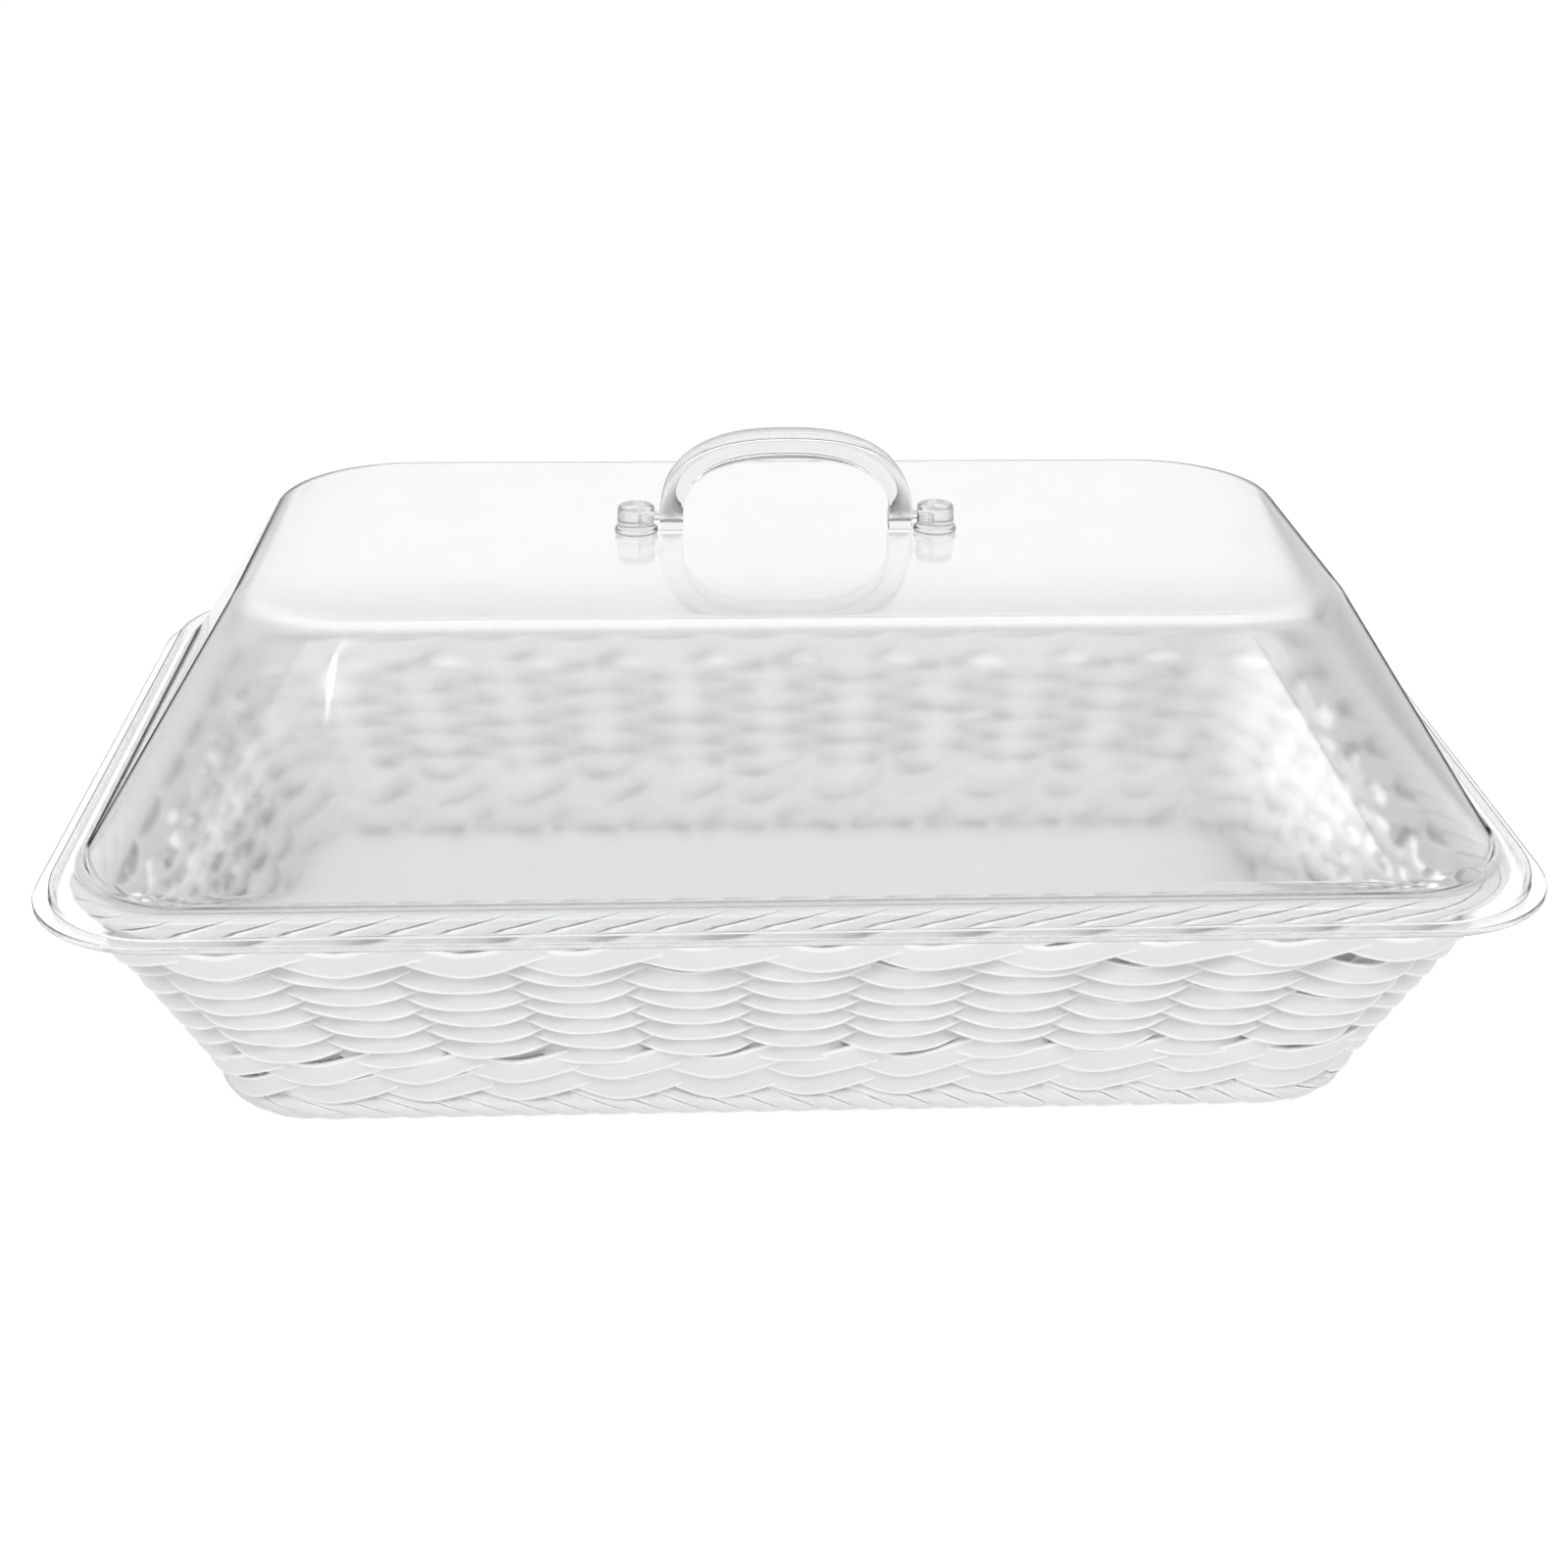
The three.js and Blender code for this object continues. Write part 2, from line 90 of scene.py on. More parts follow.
# Wales: places along a strand are counted in stakes, and its lifts in rises
WALE_STRANDS = 3
WALE_BOW = 0.0046
WALE_DIP = 0.0036
WALE_WIDTH = 0.0084
WALE_RISE = 0.003
WALE_LEAN = math.radians(13)
WALE_HASTE = 0.7
WALE_OUT_PLACE = -0.5
WALE_LOW_PLACE = 0.1
WALE_IN_PLACE = 1.5
WALE_OUT_LIFT = -0.3
WALE_LOW_LIFT = -1.0
WALE_IN_LIFT = 1.3
WALE_CLIMB_POWER = 1.3
WALE_WOBBLE_ROW = 40
WALE_WOBBLE_PER_METRE = 1000
LOWER_WALES = (0.0167, 0.0249)
UPPER_WALES = (0.0702,)

# Borders: slanted strips laid over each other round a core; advances and widths are counted in stakes
BORDER_STROKES = 84
STROKE_THICKNESS = 0.0015
STROKE_SQUARENESS = 4.0
STROKE_TUCK = 0.45
CORE_INSET = 1.2 * STROKE_THICKNESS
CORE_SQUARENESS = 2.6
CORE_STEP_LENGTH = 0.002
RIM_MIDDLE = 0.07925
RIM_HALF_HEIGHT = 0.00475
RIM_HALF_THICKNESS = 0.0045
RIM_ADVANCE = 1.75
RIM_STROKE_WIDTH = 0.405
RIM_RUN_START = -80
RIM_RUN_END = 200
RIM_RUN_STEPS = 18
RIM_RUN_SQUARENESS = 2.8
FOOT_MIDDLE = 0.004
FOOT_HALF_HEIGHT = 0.004
FOOT_HALF_THICKNESS = 0.0025
FOOT_OUT = 0.00485
FOOT_ADVANCE = -1.35
FOOT_STROKE_WIDTH = 0.415
FOOT_RUN_STEPS = 5

# Corners of the foot strips: distance off the wall and height, then how far each corner is rounded
FOOT_RUN_CORNERS = [
    ((0.003, 0.0009, 0), 0),
    ((0.0066, 0.0009, 0), 0.002),
    ((0.0068, 0.0055, 0), 0.002),
    ((0.0022, 0.0105, 0), 0.002),
    ((0.0012, 0.014, 0), 0),
]

# Floor: close strips along the length, over and under thin ribs; waves and drops are in strip thicknesses
MAT_BOTTOM = 0.0072
MAT_TOP = 0.0092
MAT_DEPTH_IN_STRIPS = 3.2
MAT_STRIPS = 25
MAT_REACH = 0.0085
MAT_CORNER = 0.018
MAT_WAVE = 0.2
MAT_STEPS = 96
RIB_DROP = 0.8
RIB_END_GAP = 0.002
RIB_STEPS = 8

# Lid: outer sizes as insets from the lip's edge and heights, and how far its corners are rounded
LIP_LENGTH = 0.42
LIP_BREADTH = 0.261
LIP_CORNER = 0.039
LIP_THICKNESS = 0.002
LIP_BOTTOM = 0.0783
LIP_WIDTH = 0.0045
LIP_ROUNDING = 0.0007
LID_WALL = 0.0012
LID_TOP = 0.1498
LID_CORNER_STEPS = 16
LID_BEND_STEPS = 6
PLATE_INSET = 0.06
FLANGE_TOP = 0.0863
FLANGE_ROUNDING = 0.0045
DOME_FOOT = 0.01225
DOME_FOOT_ROUNDING = 0.003
DOME_INNER_ROUNDING = 0.0008
DOME_LEAN = 0.041
DOME_CORNER = 0.036
DOME_FILLET = 0.008
CLEAR_SHARP = math.radians(35)

# Handle and its posts
PIVOT = 0.1544
HANDLE_HALF_WIDTH = 0.038
HANDLE_TOP = 0.1808
HANDLE_THICKNESS = 0.007
HANDLE_SQUARENESS = 7.0
HANDLE_STEPS = 64
HANDLE_SIDES = 24
ARCH_POWER = 2.5
GRIP_DEPTH = 0.014
EYE_DIAMETER = 0.008
EYE_STEPS = 48
PIN_DIAMETER = 0.004
PIN_END = 0.0443
PIN_STEPS = 32
BORE_DIAMETER = 0.0048
BORE_START = 0.02
BORE_PLAY = 0.0004
BOND_GAP = 0.0003
POST_CENTRE = 0.0451
POST_HEIGHT = 0.0086
POST_RADIUS = 0.0058
POST_TAPER = 0.0004
POST_ROUNDING = 0.0005
POST_STEPS = 64
POST_BEND_STEPS = 5
COLLAR_RADIUS = 0.0065
COLLAR_HEIGHT = 0.002
SAME_SPOT = 1e-7

# Camera: angles in radians, focal length in pixels of the photo
CAMERA_SPOT = Vector((-0.0343, -0.6643, 0.3701))
CAMERA_PITCH = 0.429
CAMERA_YAW = -0.052
CAMERA_ROLL = 0.011
CAMERA_CLIP = 0.01
FOCAL_PIXELS = 2350
IMAGE_PIXELS = 1600
SENSOR_WIDTH = 36

# Studio: levels of grey, and the depths in a direction between which the front turns into the back
WHITE = (1.0, 1.0, 1.0, 1.0)
ROOM_LIGHT = 0.59
FRONT_GREY = 0.7
BACK_GLOW = 1.06
FRONT_DEPTH = -0.65
BACK_DEPTH = -0.05
TABLE_HALF_SIZE = 6.0
TABLE_LEVEL = -0.0002
TABLE_DULL = 0.84
TABLE_PALE = 0.86
TABLE_SHADED = 0.4
TABLE_GLOW = 0.76
TABLE_FAINT_GLOW = 0.15
LAMP_AIM = Vector((0, 0, 0.07))

# White strip: paleness, how far it varies, and where its paler edge starts and is full across half its
# width; the paler edge is a painted highlight standing in for light caught along the strip's thin edges
STRIP_PALENESS = 0.83
# The floor mat's strips are painted darker: painted shade that offsets the stronger light falling on their
# upward faces
FLOOR_SHADED_PALENESS = 0.67
PALENESS_SPREAD = 0.035
BLUE_SHARE = 0.995
EDGE_HIGHLIGHT_WHITE = (0.97, 0.97, 0.965, 1.0)
HIGHLIGHT_START = 0.66
HIGHLIGHT_FULL = 0.8

# Clear plastic: the grey painted shade that passes through its curved edges, what passes to the light, and
# how edgeways a flat wall is seen
PAINTED_EDGE_SHADE = (0.5, 0.51, 0.52, 1.0)
LIGHT_TINT = (0.98, 0.985, 0.985, 1.0)
BODY_TINT = (0.0, 0.02, 0.03, 1.0)
FLAT_WALL_START = 0.915
FLAT_WALL_FULL = 0.935


class Value:
    """One output of a node. Sums and products on it add Math nodes to the same tree."""

    def __init__(self, nodes, socket):
        self.nodes = nodes
        self.socket = socket

    def maths(self, operation, first, second):
        return self.nodes.node("ShaderNodeMath", {"operation": operation}, {0: first, 1: second})

    def __add__(self, other):
        return self.maths("ADD", self, other)

    def __radd__(self, other):
        return self.maths("ADD", other, self)

    def __sub__(self, other):
        return self.maths("SUBTRACT", self, other)

    def __rsub__(self, other):
        return self.maths("SUBTRACT", other, self)

    def __mul__(self, other):
        return self.maths("MULTIPLY", self, other)

    def __rmul__(self, other):
        return self.maths("MULTIPLY", other, self)

    def __pow__(self, other):
        return self.maths("POWER", self, other)

    def __abs__(self):
        return self.maths("ABSOLUTE", self, 0.0)

    def up_to(self, limit):
        return self.maths("MINIMUM", self, limit)


class Nodes:
    """A node tree, and short ways to fill it."""

    def __init__(self, tree):
        self.tree = tree
        self.tree.nodes.clear()

    def node(self, kind, settings=None, sockets=None, output=0):
        made = self.tree.nodes.new(kind)
        for name, setting in (settings or {}).items():
            setattr(made, name, setting)
        for name, value in (sockets or {}).items():
            if isinstance(value, Value):
                self.tree.links.new(value.socket, made.inputs[name])
            else:
                made.inputs[name].default_value = value
        return Value(self, made.outputs[output]) if made.outputs else None

    def ramp(self, value, start, end):
        """Goes smoothly from 0 to 1 between two places, and stays level beyond them."""
        return self.node(
            "ShaderNodeMapRange", {"interpolation_type": "SMOOTHSTEP"},
            {"Value": value, "From Min": start, "From Max": end, "To Min": 0.0, "To Max": 1.0})

    def mix_colours(self, factor, first, second):
        return self.node("ShaderNodeMix", {"data_type": "RGBA"}, {0: factor, 6: first, 7: second}, 2)

    def mix_shaders(self, factor, first, second):
        return self.node("ShaderNodeMixShader", None, {0: factor, 1: first, 2: second})

    def axis(self, vector, name):
        return self.node("ShaderNodeSeparateXYZ", None, {0: vector}, name)

    def clouds(self, vector, scale, detail):
        return self.node("ShaderNodeTexNoise", None, {"Vector": vector, "Scale": scale, "Detail": detail})

    def bump(self, height, strength, distance):
        return self.node(
            "ShaderNodeBump", None, {"Strength": strength, "Distance": distance, "Height": height})

    def ray(self, kind):
        """1 for a ray of this kind."""
        return self.node("ShaderNodeLightPath", output=f"Is {kind} Ray")

    def seen_rays(self):
        """1 for a ray that shows the background: straight from the camera, in a mirror or through glass."""
        return (self.ray("Camera") + self.ray("Glossy") + self.ray("Transmission")).up_to(1.0)


def new_material(name):
    material = bpy.data.materials.new(name)
    material.use_nodes = True
    return material, Nodes(material.node_tree)


def grey(level):
    return level, level, level, 1.0


def warm_white(level):
    return level, level, level * BLUE_SHARE, 1.0


def white_strip(name, paleness):
    """Extruded plastic strip: pale and satin, with a painted highlight along its thin edges, and faint
    lengthwise lines.
    """
    material, nodes = new_material(name)
    place = nodes.node("ShaderNodeUVMap", {"uv_map": "strip"})
    along = nodes.axis(place, "X")
    across = nodes.axis(place, "Y")
    # Painted highlight: the colour turns white near both thin edges of the strip, standing in for light
    # caught there
    edge = nodes.ramp(abs(across * 2.0 - 1.0), HIGHLIGHT_START, HIGHLIGHT_FULL)
    lines_place = nodes.node("ShaderNodeCombineXYZ", None, {"X": along * 9.0, "Y": across * 26.0})
    lines = nodes.clouds(lines_place, scale=1.0, detail=2.0)
    spot = nodes.node("ShaderNodeTexCoord", output="Object")
    patch = nodes.clouds(spot, scale=55.0, detail=3.0)
    dull = warm_white(paleness - PALENESS_SPREAD)
    pale = warm_white(paleness + PALENESS_SPREAD)
    body = nodes.mix_colours(patch, dull, pale)
    shader = nodes.node("ShaderNodeBsdfPrincipled", None, {
        "Base Color": nodes.mix_colours(edge, body, EDGE_HIGHLIGHT_WHITE),
        "Roughness": 0.34 + 0.2 * lines,
        "Normal": nodes.bump(lines, strength=0.25, distance=0.0002),
        "IOR": 1.49,
    })
    nodes.node("ShaderNodeOutputMaterial", None, {"Surface": shader})
    return material


def clear_plastic(name, ripple, absorbed, haze, shade_start, shade_full):
    """Clear moulded plastic: a little hazy, faintly rippled, under a thin glossy skin.

    It is painted greyer where it curves away from the eye, a painted shade standing in for the dark lines
    that bent light draws there, but a flat wall that is seen edgeways stays clear.
    Shadows and scattered light pass straight through it.
    """
    material, nodes = new_material(name)
    spot = nodes.node("ShaderNodeTexCoord", output="Object")
    waves = nodes.clouds(spot, scale=14.0, detail=1.0)
    smears = nodes.clouds(spot, scale=38.0, detail=3.0)
    facing = nodes.node("ShaderNodeLayerWeight", None, {"Blend": 0.5}, "Facing")
    glass = nodes.node("ShaderNodeBsdfPrincipled", None, {
        "Base Color": WHITE,
        "Roughness": haze + 0.03 * smears,
        "Normal": nodes.bump(waves, strength=ripple, distance=0.002),
        "IOR": 1.5,
        "Transmission Weight": 1.0,
        "Coat Weight": 0.35,
        "Coat Roughness": 0.02,
    })
    # Painted shade: a grey see-through sheet is mixed in where the surface turns away from the eye
    turned = nodes.ramp(facing, shade_start, shade_full)
    not_flat = nodes.ramp(facing, FLAT_WALL_FULL, FLAT_WALL_START)
    edge = nodes.node("ShaderNodeBsdfTransparent", None, {"Color": PAINTED_EDGE_SHADE})
    seen = nodes.mix_shaders(turned * not_flat, glass, edge)
    unseen = nodes.node("ShaderNodeBsdfTransparent", None, {"Color": LIGHT_TINT})
    lighting = (nodes.ray("Shadow") + nodes.ray("Diffuse")).up_to(1.0)
    surface = nodes.mix_shaders(lighting, seen, unseen)
    volume = nodes.node("ShaderNodeVolumeAbsorption", None, {"Color": BODY_TINT, "Density": absorbed})
    nodes.node("ShaderNodeOutputMaterial", None, {"Surface": surface, "Volume": volume})
    return material


def outline_point(outline, share):
    """A point on a rounded rectangle, a share of the way round from the middle of its front."""
    length, width, radius = outline
    ends = length - 2 * radius
    sides = width - 2 * radius
    arc = radius * math.pi / 2
    runs = [ends / 2, arc, sides, arc, ends, arc, sides, arc, ends / 2]
    left = share % 1 * sum(runs)
    spot = Vector((0, -width / 2, 0))
    heading = 0.0
    for number, run in enumerate(runs):
        step = min(left, run)
        if number % 2:
            centre = spot + radius * Vector((-math.sin(heading), math.cos(heading), 0))
            heading += step / radius
            spot = centre + radius * Vector((math.sin(heading), -math.cos(heading), 0))
        else:
            spot = spot + step * Vector((math.cos(heading), math.sin(heading), 0))
        left -= step
        if left <= 0:
            break
    return spot


@functools.cache
def wall_line(turn):
    """The wall at a place counted in stakes.

    Gives its foot, its rise to the rim, and its directions along, up and out.
    """
    foot, rim = (outline_point(outline, turn / STAKES) for outline in (FOOT_OUTLINE, RIM_OUTLINE))
    behind, ahead = (
        outline_point(FOOT_OUTLINE, near / STAKES) + outline_point(RIM_OUTLINE, near / STAKES)
        for near in (turn - 0.5, turn + 0.5))
    rise = rim - foot + Vector((0, 0, BASKET_HEIGHT))
    along = (ahead - behind).normalized()
    out = along.cross(rise).normalized()
    return foot, rise, along, out.cross(along), out


def wall_point(turn, height, off):
    foot, rise, _, _, out = wall_line(turn)
    return foot + rise * (height / BASKET_HEIGHT) + out * off


def level_point(turn, height, off):
    """The same with a level distance off the wall, for the borders."""
    foot, rise, along, _, _ = wall_line(turn)
    return foot + rise * (height / BASKET_HEIGHT) + along.cross(Vector((0, 0, 1))) * off


def smooth(share):
    share = min(max(share, 0.0), 1.0)
    return share * share * (3 - 2 * share)


def mixed(first, second, share):
    return first + (second - first) * share


def squared(value, squareness):
    """Pushes a circle's coordinate towards a square's."""
    return math.copysign(abs(value) ** (2 / squareness), value)


def bend(before, corner, after, share):
    """A point on the curve that rounds a corner."""
    return before * (1 - share) ** 2 + corner * 2 * share * (1 - share) + after * share * share


def rounded_run(corners, steps):
    """A run through corner points, each given with the distance over which it is rounded."""
    run = []
    for number, (point, reach) in enumerate(corners):
        spot = Vector(point)
        if number in (0, len(corners) - 1):
            run.append(spot)
            continue
        before = spot + (Vector(corners[number - 1][0]) - spot).normalized() * reach
        after = spot + (Vector(corners[number + 1][0]) - spot).normalized() * reach
        run += [bend(before, spot, after, step / steps) for step in range(steps + 1)]
    return run


def hoop(sides, steps):
    """A ring of unit section, and for each vertex its step round the ring and its place in the section."""
    bm = bmesh.new()
    stand = Matrix.Translation((HOOP_RADIUS, 0, 0)) @ Matrix.Rotation(math.pi / 2, 4, "X")
    bmesh.ops.create_circle(bm, segments=sides, radius=1.0, matrix=stand)
    bmesh.ops.spin(
        bm, geom=bm.verts[:] + bm.edges[:], cent=(0, 0, 0), axis=(0, 0, 1),
        angle=2 * math.pi, steps=steps, use_merge=True)
    places = {}
    for vert in bm.verts:
        x, y, z = vert.co
        step = round(math.atan2(y, x) / (2 * math.pi) * steps) % steps
        places[vert] = (step, z, math.hypot(x, y) - HOOP_RADIUS)
    return bm, places


def rod(sides, steps):
    """A straight capped rod of unit section, and for each vertex its step along and place in the section."""
    bm = bmesh.new()
    bmesh.ops.create_cone(
        bm, cap_ends=True, cap_tris=False, segments=sides, radius1=1.0, radius2=1.0, depth=1.0)
    lengthwise = [edge for edge in bm.edges if abs(edge.verts[0].co.z - edge.verts[1].co.z) > 0.5]
    bmesh.ops.subdivide_edges(bm, edges=lengthwise, cuts=steps - 1, use_grid_fill=True)
    return bm, {vert: (round((vert.co.z + 0.5) * steps), vert.co.y, vert.co.x) for vert in bm.verts}


def mark_strip(bm, places, length_of_step, steps_round=None):
    """Writes the strip map: length along the strip in metres, and share of the way across it."""
    layer = bm.loops.layers.uv.verify()
    for face in bm.faces:
        steps = [places[loop.vert][0] for loop in face.loops]
        wraps = steps_round and max(steps) - min(steps) > steps_round / 2
        for loop, step in zip(face.loops, steps):
            unwrapped = step + steps_round if wraps and step < steps_round / 2 else step
            across = squared(places[loop.vert][1], STRIP_SQUARENESS)
            loop[layer].uv = (unwrapped * length_of_step, (across + 1) / 2)


def linked(bm, name):
    """Puts a bmesh into the scene as an object."""
    mesh = bpy.data.meshes.new(name)
    bm.to_mesh(mesh)
    bm.free()
    made = bpy.data.objects.new(name, mesh)
    bpy.context.scene.collection.objects.link(made)
    return made


def to_object(bm, name, material, body, nodes, sharp_angle):
    """Makes the piece: outward faces, smooth shading, its body and the solids it stands for."""
    bmesh.ops.recalc_face_normals(bm, faces=bm.faces[:])
    piece = linked(bm, name)
    piece.data.shade_smooth()
    piece.data.set_sharp_from_angle(angle=sharp_angle)
    if piece.data.uv_layers:
        piece.data.uv_layers[0].name = "strip"
    piece.data.materials.append(material)
    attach(piece, body)
    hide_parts(*nodes)
    return piece


def strip_object(bm, name, material, node, sharp_angle=STRIP_SHARP):
    to_object(bm, name, material, "basket", [node], sharp_angle)


def join(target, source):
    """Adds one bmesh to another."""
    mesh = bpy.data.meshes.new("part")
    source.to_mesh(mesh)
    source.free()
    target.from_mesh(mesh)
    bpy.data.meshes.remove(mesh)


def strip_section(a, b, width, thickness, squareness=STRIP_SQUARENESS):
    """Distances across and through a flat strip with rounded edges."""
    return squared(a, squareness) * width / 2, squared(b, squareness) * thickness / 2


def wobble(turn, row):
    """A small unevenness of hand work, the same on every run."""
    angle = 2 * math.pi * turn / STAKES
    x = WOBBLE_CIRCLE * math.cos(angle)
    y = WOBBLE_CIRCLE * math.sin(angle)
    return HAND_WOBBLE * noise.noise(Vector((x, y, WOBBLE_ROW_STEP * row)))


def ring_strip(node, station, material):
    """A strip round the wall; station(turn) gives its height, distance off the wall, twist and width."""
    steps = STAKES * STEPS_PER_STAKE
    bm, places = hoop(STRIP_SIDES, steps)
    stations = [station(step / STEPS_PER_STAKE) for step in range(steps)]
    for vert, (step, a, b) in places.items():
        turn = step / STEPS_PER_STAKE
        height, off, twist, width = stations[step]
        across, through = strip_section(a, b, width, STRIP_THICKNESS)
        _, _, _, up, out = wall_line(turn)
        centre = wall_point(turn, height, off)
        edgeways = up * math.cos(twist) - out * math.sin(twist)
        faceways = out * math.cos(twist) + up * math.sin(twist)
        vert.co = centre + edgeways * across + faceways * through
    perimeter = 2 * (FOOT_OUTLINE[0] + FOOT_OUTLINE[1])
    mark_strip(bm, places, perimeter / steps, steps)
    strip_object(bm, node + "_strip", material, node, RING_SHARP)


def plain_row(row):
    """Over one stake and behind the next, broad on the stakes and turned flatter between them."""
    middle = PLAIN_BOTTOM + PLAIN_PITCH * row

    def station(turn):
        swing = math.cos(math.pi * (turn + row))
        passing = 1 - swing * swing
        return (
            middle + wobble(turn, row),
            PLAIN_BOW * squared(swing, PLAIN_BOW_SQUARENESS),
            mixed(PLAIN_LEAN, PLAIN_TWIST, passing),
            mixed(PLAIN_WIDTH, PLAIN_NECK, passing))

    return station


def wale_row(middle, number):
    """Out past two stakes, climbing over the strand ahead of it, then in behind the third and down again."""

    def station(turn):
        place = (turn + number - WALE_OUT_PLACE) % WALE_STRANDS + WALE_OUT_PLACE
        if place < WALE_IN_PLACE:
            share = (place - WALE_OUT_PLACE) / (WALE_IN_PLACE - WALE_OUT_PLACE)
            off = WALE_BOW * math.sin(math.pi * (share + WALE_HASTE * share * (1 - share)))
            if place < WALE_LOW_PLACE:
                fall = smooth((place - WALE_OUT_PLACE) / (WALE_LOW_PLACE - WALE_OUT_PLACE))
                lift = mixed(WALE_OUT_LIFT, WALE_LOW_LIFT, fall)
            else:
                angle = math.pi / 2 * (place - WALE_LOW_PLACE) / (WALE_IN_PLACE - WALE_LOW_PLACE)
                lift = mixed(WALE_LOW_LIFT, WALE_IN_LIFT, math.sin(angle) ** WALE_CLIMB_POWER)
        else:
            behind = place - WALE_IN_PLACE
            dip = math.sin(math.pi * behind)
            off = -WALE_DIP * dip
            lift = mixed(WALE_IN_LIFT, WALE_OUT_LIFT, smooth(behind)) - dip
        wobble_row = WALE_WOBBLE_ROW + number + WALE_WOBBLE_PER_METRE * middle
        height = middle + WALE_RISE * lift + wobble(turn, wobble_row)
        return height, off, WALE_LEAN, WALE_WIDTH

    return station


def stake_path(turn, opposite, level, inward, flat_side):
    """From the top of one wall, under the floor mat, to the top of the wall opposite.

    Each spot comes with the direction of the strip's width and of its face.
    """

    def down(at, towards, facing):
        _, _, along, _, out = wall_line(at)
        wall_side = along * facing
        corner = wall_point(at, level, 0)
        bend_height = level + STAKE_BEND
        bend_top = wall_point(at, bend_height, 0)
        flat = corner + towards * STAKE_BEND
        run = []
        for step in range(STAKE_STEPS):
            height = mixed(STAKE_TOP, bend_height, step / STAKE_STEPS)
            run.append((wall_point(at, height, 0), wall_side, out))
        for step in range(STAKE_BEND_STEPS + 1):
            share = step / STAKE_BEND_STEPS
            side = wall_side.lerp(flat_side, smooth(share)).normalized()
            face = out.lerp(Vector((0, 0, -1)), smooth(share)).normalized()
            run.append((bend(bend_top, corner, flat, share), side, face))
        return run

    near = down(turn, inward, 1)
    far = down(opposite, -inward, -1)
    return near + far[::-1]


def stake(node, path, material):
    """A strip along a path."""
    bm, places = rod(STRIP_SIDES, len(path) - 1)
    for vert, (step, a, b) in places.items():
        spot, side, face = path[step]
        across, through = strip_section(a, b, STAKE_WIDTH, STAKE_THICKNESS)
        vert.co = spot + side * across + face * through
    length = sum((after[0] - before[0]).length for before, after in zip(path, path[1:]))
    mark_strip(bm, places, length / (len(path) - 1))
    strip_object(bm, node + "_strip", material, node)


def make_stakes(material):
    half_round = STAKES // 2
    to_back = Vector((0, 1, 0))
    to_left = Vector((-1, 0, 0))
    for turn in range(-CROSSWISE_REACH, CROSSWISE_REACH + 1):
        path = stake_path(turn, half_round - turn, CROSSWISE_LEVEL, to_back, -to_left)
        stake(f"crosswise_stake_{turn + CROSSWISE_REACH + 1:02d}", path, material)
    for turn in range(CROSSWISE_REACH + 1, half_round - CROSSWISE_REACH):
        path = stake_path(turn, -turn, LENGTHWISE_LEVEL, to_left, to_back)
        stake(f"lengthwise_stake_{turn - CROSSWISE_REACH:02d}", path, material)


def make_rows(material):
    for row in range(PLAIN_ROWS):
        ring_strip(f"weaver_row_{row + 1:02d}", plain_row(row), material)
    for place, middles in (("lower", LOWER_WALES), ("upper", UPPER_WALES)):
        for number in range(WALE_STRANDS * len(middles)):
            station = wale_row(middles[number // WALE_STRANDS], number % WALE_STRANDS)
            ring_strip(f"{place}_wale_rod_{number + 1:02d}", station, material)


def border_core(middle, half_height, out, half_thickness):
    """The plain ring inside a border, below the strips laid over it."""
    steps = STAKES * STEPS_PER_STAKE
    bm, places = hoop(STRIP_SIDES, steps)
    for vert, (step, a, b) in places.items():
        height = middle + (half_height - CORE_INSET) * squared(a, CORE_SQUARENESS)
        off = out + (half_thickness - CORE_INSET) * squared(b, CORE_SQUARENESS)
        vert.co = level_point(step / STEPS_PER_STAKE, height, off)
    mark_strip(bm, places, CORE_STEP_LENGTH, steps)
    return bm


def border_strokes(bm, run, advance, width):
    """Short strips laid slantwise along a run of distances off the wall and heights.

    Each is tucked under the next.
    """
    steps = len(run) - 1
    lengths = [0.0]
    for before, after in zip(run, run[1:]):
        lengths.append(lengths[-1] + (after - before).length)
    for stroke in range(BORDER_STROKES):
        strip, places = rod(THIN_SIDES, steps)
        base = stroke * STAKES / BORDER_STROKES
        for vert, (step, a, b) in places.items():
            across, through = strip_section(a, b, 1.0, STROKE_THICKNESS, STROKE_SQUARENESS)
            travel = (run[min(step + 1, steps)] - run[max(step - 1, 0)]).normalized()
            face = Vector((travel.y, -travel.x, 0))
            spot = run[step] + face * (through - STROKE_TUCK * STROKE_THICKNESS * (across + 0.5))
            turn = base + advance * lengths[step] / lengths[-1] + across * width
            vert.co = level_point(turn, spot.y, spot.x)
        mark_strip(strip, places, lengths[-1] / steps)
        join(bm, strip)


def make_borders(material):
    rim = border_core(RIM_MIDDLE, RIM_HALF_HEIGHT, 0, RIM_HALF_THICKNESS)
    rim_run = []
    for step in range(RIM_RUN_STEPS + 1):
        angle = math.radians(mixed(RIM_RUN_START, RIM_RUN_END, step / RIM_RUN_STEPS))
        sideways = squared(math.cos(angle), RIM_RUN_SQUARENESS)
        upwards = squared(math.sin(angle), RIM_RUN_SQUARENESS)
        rim_run.append(Vector((
            (RIM_HALF_THICKNESS - STROKE_THICKNESS / 2) * sideways,
            RIM_MIDDLE + (RIM_HALF_HEIGHT - STROKE_THICKNESS / 2) * upwards,
            0)))
    border_strokes(rim, rim_run, RIM_ADVANCE, RIM_STROKE_WIDTH)
    strip_object(rim, "rim_border_strips", material, "rim_border")
    foot = border_core(FOOT_MIDDLE, FOOT_HALF_HEIGHT, FOOT_OUT, FOOT_HALF_THICKNESS)
    foot_run = rounded_run(FOOT_RUN_CORNERS, FOOT_RUN_STEPS)
    border_strokes(foot, foot_run, FOOT_ADVANCE, FOOT_STROKE_WIDTH)
    strip_object(foot, "foot_border_strips", material, "foot_border")


